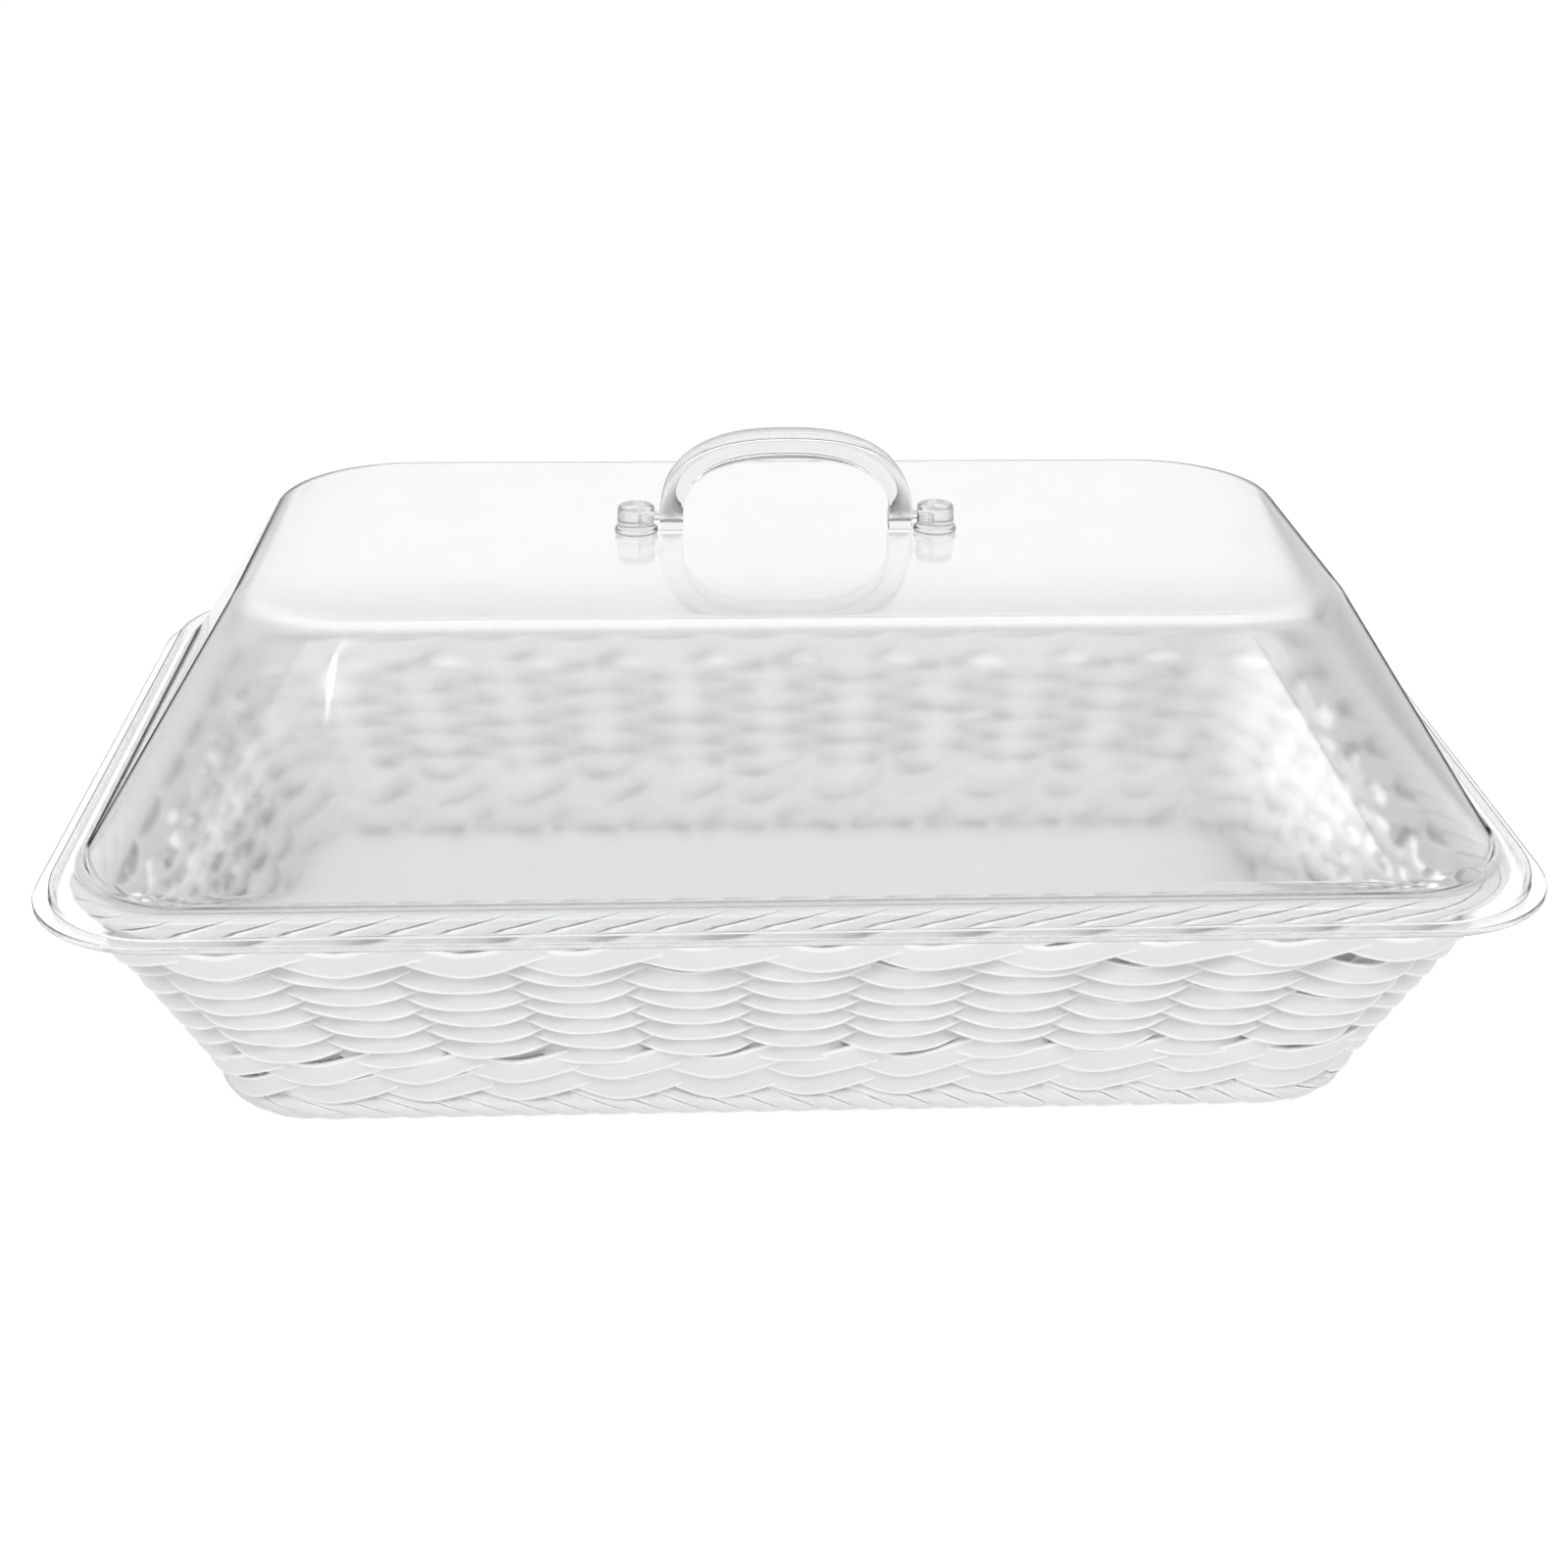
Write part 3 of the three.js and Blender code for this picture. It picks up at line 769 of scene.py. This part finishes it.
def make_floor_mat(material):
    """Strips along the length, waved over and under the ribs that lie over the crosswise stakes."""
    low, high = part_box("floor_mat")
    length = high.x - low.x + 2 * MAT_REACH
    width = high.y - low.y + 2 * MAT_REACH
    middle = (MAT_BOTTOM + MAT_TOP) / 2
    thickness = (MAT_TOP - MAT_BOTTOM) / MAT_DEPTH_IN_STRIPS
    rib_pitch = length / (2 * CROSSWISE_REACH + 2)
    strip_pitch = width / MAT_STRIPS
    whole = bmesh.new()
    whole.loops.layers.uv.new("strip")
    for number in range(MAT_STRIPS):
        y = strip_pitch * (number + 0.5) - width / 2
        past = max(0.0, abs(y) - (width / 2 - MAT_CORNER))
        half = length / 2 - MAT_CORNER + math.sqrt(max(MAT_CORNER * MAT_CORNER - past * past, 0.0))
        bm, places = rod(THIN_SIDES, MAT_STEPS)
        for vert, (step, a, b) in places.items():
            x = mixed(-half, half, step / MAT_STEPS)
            across, through = strip_section(a, b, strip_pitch, thickness)
            wave = math.cos(math.pi * (x / rib_pitch + number)) * thickness * MAT_WAVE
            vert.co = (x, y + across, middle + wave + through)
        mark_strip(bm, places, 2 * half / MAT_STEPS)
        join(whole, bm)
    half = width / 2 - RIB_END_GAP
    for number in range(-CROSSWISE_REACH, CROSSWISE_REACH + 1):
        x = number * rib_pitch
        bm, places = rod(THIN_SIDES, RIB_STEPS)
        for vert, (step, a, b) in places.items():
            across, through = strip_section(a, b, STAKE_WIDTH, thickness)
            y = mixed(-half, half, step / RIB_STEPS)
            vert.co = (x + across, y, middle - thickness * RIB_DROP + through)
        mark_strip(bm, places, 2 * half / RIB_STEPS)
        join(whole, bm)
    strip_object(whole, "floor_mat_weave", material, "floor_mat")


def lid_point(corner_step, inset, height, radius):
    """A point on a level rounded rectangle; its four corners take the same number of steps each."""
    corner, step = divmod(corner_step, LID_CORNER_STEPS + 1)
    angle = math.pi / 2 * (corner + step / LID_CORNER_STEPS)
    middle = math.pi / 2 * (corner + 0.5)
    x = math.copysign(LIP_LENGTH / 2 - inset - radius, math.cos(middle))
    y = math.copysign(LIP_BREADTH / 2 - inset - radius, math.sin(middle))
    return Vector((x + radius * math.cos(angle), y + radius * math.sin(angle), height))


def make_lid(material):
    """One clear shell, run from its ceiling down the inside, round the lip and up the outside.

    A corner is an inset, a height and the radius of the outline there, then how far it is rounded.
    """
    slope = math.atan2(LID_TOP - FLANGE_TOP, DOME_LEAN)
    wall_across = LID_WALL / math.sin(slope)
    inner_foot = DOME_FOOT + wall_across - LID_WALL / math.tan(slope)
    inner_top = DOME_FOOT + DOME_LEAN + wall_across - LID_WALL / math.tan(slope)
    inner_corner = DOME_CORNER - wall_across
    flange_bottom = FLANGE_TOP - LID_WALL
    skirt = LIP_WIDTH + LID_WALL
    lip_top = LIP_BOTTOM + LIP_THICKNESS
    tangent = math.tan(slope / 2)
    corners = [
        ((PLATE_INSET, LID_TOP - LID_WALL, inner_corner), 0),
        ((inner_top, LID_TOP - LID_WALL, inner_corner), (DOME_FILLET - LID_WALL) * tangent),
        ((inner_foot, flange_bottom, inner_corner), DOME_INNER_ROUNDING),
        ((skirt, flange_bottom, LIP_CORNER - skirt), FLANGE_ROUNDING - LID_WALL),
        ((skirt, LIP_BOTTOM, LIP_CORNER - skirt), LIP_ROUNDING),
        ((0, LIP_BOTTOM, LIP_CORNER), LIP_ROUNDING),
        ((0, lip_top, LIP_CORNER), LIP_ROUNDING),
        ((LIP_WIDTH, lip_top, LIP_CORNER - LIP_WIDTH), LIP_ROUNDING),
        ((LIP_WIDTH, FLANGE_TOP, LIP_CORNER - LIP_WIDTH), FLANGE_ROUNDING),
        ((DOME_FOOT, FLANGE_TOP, DOME_CORNER), DOME_FOOT_ROUNDING),
        ((DOME_FOOT + DOME_LEAN, LID_TOP, DOME_CORNER), DOME_FILLET * tangent),
        ((PLATE_INSET, LID_TOP, DOME_CORNER), 0),
    ]
    run = rounded_run(corners, LID_BEND_STEPS)
    round_steps = 4 * (LID_CORNER_STEPS + 1)
    bm, places = rod(round_steps, len(run) - 1)
    for vert, (step, a, b) in places.items():
        turn = math.atan2(a, b) / (2 * math.pi) % 1
        vert.co = lid_point(round(turn * round_steps) % round_steps, *run[step])
    shell = to_object(bm, "lid_shell_clear", material, "lid", ["lid_shell"], CLEAR_SHARP)
    flats = shell.modifiers.new("flats", "WEIGHTED_NORMAL")
    flats.mode = "FACE_AREA"
    flats.keep_sharp = True


def spun(profile, steps):
    """A solid of revolution about Z from a profile that starts and ends on the axis."""
    bm = bmesh.new()
    verts = [bm.verts.new((radius, 0, height)) for radius, height in profile]
    edges = [bm.edges.new(pair) for pair in zip(verts, verts[1:])]
    bmesh.ops.spin(
        bm, geom=verts + edges, cent=(0, 0, 0), axis=(0, 0, 1),
        angle=2 * math.pi, steps=steps, use_merge=True)
    bmesh.ops.remove_doubles(bm, verts=bm.verts[:], dist=SAME_SPOT)
    bmesh.ops.recalc_face_normals(bm, faces=bm.faces[:])
    return bm


def rod_along_x(diameter, start, end, steps):
    """A round rod at the height of the pivot."""
    bm = bmesh.new()
    turned = Matrix.Translation(((start + end) / 2, 0, PIVOT)) @ Matrix.Rotation(math.pi / 2, 4, "Y")
    bmesh.ops.create_cone(
        bm, cap_ends=True, cap_tris=False, segments=steps, radius1=diameter / 2, radius2=diameter / 2,
        depth=abs(end - start), matrix=turned)
    return bm


def combined(bm, tools, operation):
    """Cuts solids from a solid or joins them to it, and gives the result as a bmesh."""
    body = linked(bm, "body")
    others = [linked(tool, "tool") for tool in tools]
    for other in others:
        modifier = body.modifiers.new("combine", "BOOLEAN")
        modifier.object = other
        modifier.operation = operation
        modifier.solver = "EXACT"
    depsgraph = bpy.context.evaluated_depsgraph_get()
    result = bmesh.new()
    result.from_object(body, depsgraph)
    for made in [body, *others]:
        mesh = made.data
        bpy.data.objects.remove(made)
        bpy.data.meshes.remove(mesh)
    return result


def make_posts(material):
    """Tapered round posts on collars, each with a blind bore for the handle's pin."""
    corners = [
        ((0, BOND_GAP, 0), 0),
        ((COLLAR_RADIUS, BOND_GAP, 0), POST_ROUNDING),
        ((COLLAR_RADIUS, COLLAR_HEIGHT - POST_TAPER, 0), POST_ROUNDING),
        ((POST_RADIUS, COLLAR_HEIGHT, 0), POST_TAPER / 2),
        ((POST_RADIUS - POST_TAPER, POST_HEIGHT, 0), 2 * POST_ROUNDING),
        ((0, POST_HEIGHT, 0), 0),
    ]
    profile = [(point.x, LID_TOP + point.y) for point in rounded_run(corners, POST_BEND_STEPS)]
    for name, side in (("left", -1), ("right", 1)):
        post = spun(profile, POST_STEPS)
        bmesh.ops.translate(post, vec=(side * POST_CENTRE, 0, 0), verts=post.verts[:])
        bore_start = side * (POST_CENTRE - BORE_START)
        bore_end = side * (PIN_END + BORE_PLAY)
        bore = rod_along_x(BORE_DIAMETER, bore_start, bore_end, PIN_STEPS)
        bored = combined(post, [bore], "DIFFERENCE")
        node = f"pivot_post_{name}"
        to_object(bored, node + "_clear", material, "lid", [node], CLEAR_SHARP)


def make_handle(material):
    """An arched strap, deepest at the grip, joined to a round eye and a pin at each foot."""
    half_span = HANDLE_HALF_WIDTH - HANDLE_THICKNESS / 2
    rise = HANDLE_TOP - PIVOT - HANDLE_THICKNESS / 2
    spots = []
    for step in range(HANDLE_STEPS + 1):
        angle = math.pi * (1 - step / HANDLE_STEPS)
        x = half_span * squared(math.cos(angle), ARCH_POWER)
        spots.append(Vector((x, 0, rise * squared(max(math.sin(angle), 0), ARCH_POWER))))
    bm, places = rod(HANDLE_SIDES, HANDLE_STEPS)
    for vert, (step, a, b) in places.items():
        spot = spots[step]
        before = spots[max(step - 1, 0)]
        after = spots[min(step + 1, HANDLE_STEPS)]
        travel = (after - before).normalized()
        face = Vector((-travel.z, 0, travel.x))
        if step in (0, HANDLE_STEPS):
            face = Vector((math.copysign(1, spot.x), 0, 0))
        depth = mixed(EYE_DIAMETER, GRIP_DEPTH, spot.z / rise)
        across, through = strip_section(a, b, depth, HANDLE_THICKNESS, HANDLE_SQUARENESS)
        vert.co = spot + face * through + Vector((0, across, PIVOT))
    bmesh.ops.recalc_face_normals(bm, faces=bm.faces[:])
    extras = []
    for side in (-1, 1):
        outer = side * HANDLE_HALF_WIDTH
        pin_start = outer - side * HANDLE_THICKNESS / 2
        extras.append(rod_along_x(EYE_DIAMETER, outer, outer - side * HANDLE_THICKNESS, EYE_STEPS))
        extras.append(rod_along_x(PIN_DIAMETER, pin_start, side * PIN_END, PIN_STEPS))
    whole = combined(bm, extras, "UNION")
    to_object(whole, "bail_handle_clear", material, "handle", ["bail_handle"], CLEAR_SHARP)


def make_camera():
    data = bpy.data.cameras.new("photo_camera")
    data.sensor_fit = "HORIZONTAL"
    data.sensor_width = SENSOR_WIDTH
    data.lens = FOCAL_PIXELS / IMAGE_PIXELS * SENSOR_WIDTH
    data.clip_start = CAMERA_CLIP
    camera = bpy.data.objects.new("photo_camera", data)
    right = Vector((math.cos(CAMERA_YAW), math.sin(CAMERA_YAW), 0))
    level = math.cos(CAMERA_PITCH)
    ahead = Vector((-math.sin(CAMERA_YAW) * level, math.cos(CAMERA_YAW) * level, -math.sin(CAMERA_PITCH)))
    up = right.cross(ahead)
    turned_right = right * math.cos(CAMERA_ROLL) + up * math.sin(CAMERA_ROLL)
    turned_up = up * math.cos(CAMERA_ROLL) - right * math.sin(CAMERA_ROLL)
    axes = Matrix((turned_right, turned_up, -ahead)).transposed().to_4x4()
    camera.matrix_world = Matrix.Translation(CAMERA_SPOT) @ axes
    bpy.context.scene.collection.objects.link(camera)
    bpy.context.scene.camera = camera


def make_world():
    """Even soft light from all round.

    The camera sees it white. Glass and mirrors show it greyer in front, and mirrors brighter at the back.
    """
    world = bpy.data.worlds.new("studio")
    world.use_nodes = True
    nodes = Nodes(world.node_tree)
    direction = nodes.node("ShaderNodeTexCoord", output="Generated")
    backwards = nodes.ramp(nodes.axis(direction, "Y"), FRONT_DEPTH, BACK_DEPTH)
    back = nodes.mix_colours(nodes.ray("Glossy"), WHITE, grey(BACK_GLOW))
    around = nodes.mix_colours(backwards, grey(FRONT_GREY), back)
    shown = nodes.mix_colours(nodes.ray("Camera"), around, WHITE)
    colour = nodes.mix_colours(nodes.seen_rays(), grey(ROOM_LIGHT), shown)
    background = nodes.node("ShaderNodeBackground", None, {"Color": colour, "Strength": 1.0})
    nodes.node("ShaderNodeOutputWorld", None, {"Surface": background})
    bpy.context.scene.world = world


def make_floor():
    """A pale table top that shows white and keeps the soft shadow."""
    material, nodes = new_material("pale_table")
    spot = nodes.node("ShaderNodeTexCoord", output="Object")
    grain = nodes.clouds(spot, scale=6.0, detail=2.0)
    colour = nodes.mix_colours(grain, grey(TABLE_DULL), grey(TABLE_PALE))
    matte = nodes.node("ShaderNodeBsdfDiffuse", None, {"Color": colour})
    faint = nodes.node("ShaderNodeEmission", None, {"Color": WHITE, "Strength": TABLE_FAINT_GLOW})
    lit = nodes.node("ShaderNodeAddShader", None, {0: matte, 1: faint})
    shaded = nodes.node("ShaderNodeBsdfDiffuse", None, {"Color": grey(TABLE_SHADED)})
    glow = nodes.node("ShaderNodeEmission", None, {"Color": WHITE, "Strength": TABLE_GLOW})
    shown = nodes.node("ShaderNodeAddShader", None, {0: shaded, 1: glow})
    surface = nodes.mix_shaders(nodes.seen_rays(), lit, shown)
    nodes.node("ShaderNodeOutputMaterial", None, {"Surface": surface})
    bm = bmesh.new()
    bmesh.ops.create_grid(bm, x_segments=1, y_segments=1, size=TABLE_HALF_SIZE)
    bmesh.ops.translate(bm, vec=(0, 0, TABLE_LEVEL), verts=bm.verts[:])
    table = linked(bm, "table")
    table.data.materials.append(material)


def make_panel(name, spot, size, strength):
    """A glowing sheet that shows in the clear plastic, fading from its middle to its edges."""
    material, nodes = new_material(name)
    place = nodes.node("ShaderNodeUVMap", {"uv_map": "sheet"})
    across = nodes.axis(place, "X")
    upward = nodes.axis(place, "Y")
    spread = (across * 2.0 - 1.0) ** 2.0 + (upward * 2.0 - 1.0) ** 2.0
    glow = nodes.ramp(spread, 1.0, 0.0) * strength
    light = nodes.node("ShaderNodeEmission", None, {"Color": WHITE, "Strength": glow})
    nodes.node("ShaderNodeOutputMaterial", None, {"Surface": light})
    bm = bmesh.new()
    bm.loops.layers.uv.new("sheet")
    facing = Vector((0, 1, 0)).to_track_quat("Z", "Y").to_matrix().to_4x4()
    bmesh.ops.create_grid(bm, x_segments=1, y_segments=1, size=0.5, calc_uvs=True)
    bmesh.ops.scale(bm, vec=(*size, 1), verts=bm.verts[:])
    bmesh.ops.transform(bm, matrix=Matrix.Translation(spot) @ facing, verts=bm.verts[:])
    panel = linked(bm, name)
    panel.data.materials.append(material)
    panel.visible_camera = False
    panel.visible_shadow = False


def make_lamp(name, spot, size, energy):
    """A lamp that lights the basket but shows neither in the picture nor in the plastic."""
    data = bpy.data.lights.new(name, "AREA")
    data.shape = "RECTANGLE"
    data.size, data.size_y = size
    data.energy = energy
    lamp = bpy.data.objects.new(name, data)
    lamp.location = spot
    lamp.rotation_euler = (LAMP_AIM - Vector(spot)).to_track_quat("-Z", "Y").to_euler()
    lamp.visible_camera = False
    lamp.visible_glossy = False
    bpy.context.scene.collection.objects.link(lamp)


def make_lights():
    """A broad lamp above the front, a weak one at each side, and the panels that make the lid's streaks."""
    make_lamp("front_lamp", spot=(0, -1.14, 1.43), size=(2.4, 0.6), energy=10)
    for name, side in (("left_lamp", -1), ("right_lamp", 1)):
        make_lamp(name, spot=(side * 0.95, -1.13, 1.08), size=(1.0, 0.7), energy=2)
    make_panel("right_softbox", spot=(0.51, -1.05, 0.985), size=(0.24, 0.38), strength=5.5)
    make_panel("left_softbox", spot=(-0.325, -1.05, 1.09), size=(0.0055, 0.18), strength=45.0)


bpy.context.scene.view_settings.view_transform = "Standard"
make_camera()
make_world()
make_floor()
make_lights()
strip = white_strip("white_strip", STRIP_PALENESS)
make_stakes(strip)
make_rows(strip)
make_borders(strip)
# The floor mat takes a darker copy of the strip colour, a painted shade in place of a difference in light
make_floor_mat(white_strip("floor_strip_shaded", FLOOR_SHADED_PALENESS))
make_lid(clear_plastic("clear_lid", ripple=0.05, absorbed=8.0, haze=0.09, shade_start=0.74, shade_full=0.88))
handle_plastic = clear_plastic(
    "clear_handle", ripple=0.03, absorbed=14.0, haze=0.01, shade_start=0.65, shade_full=1.1)
make_posts(handle_plastic)
make_handle(handle_plastic)
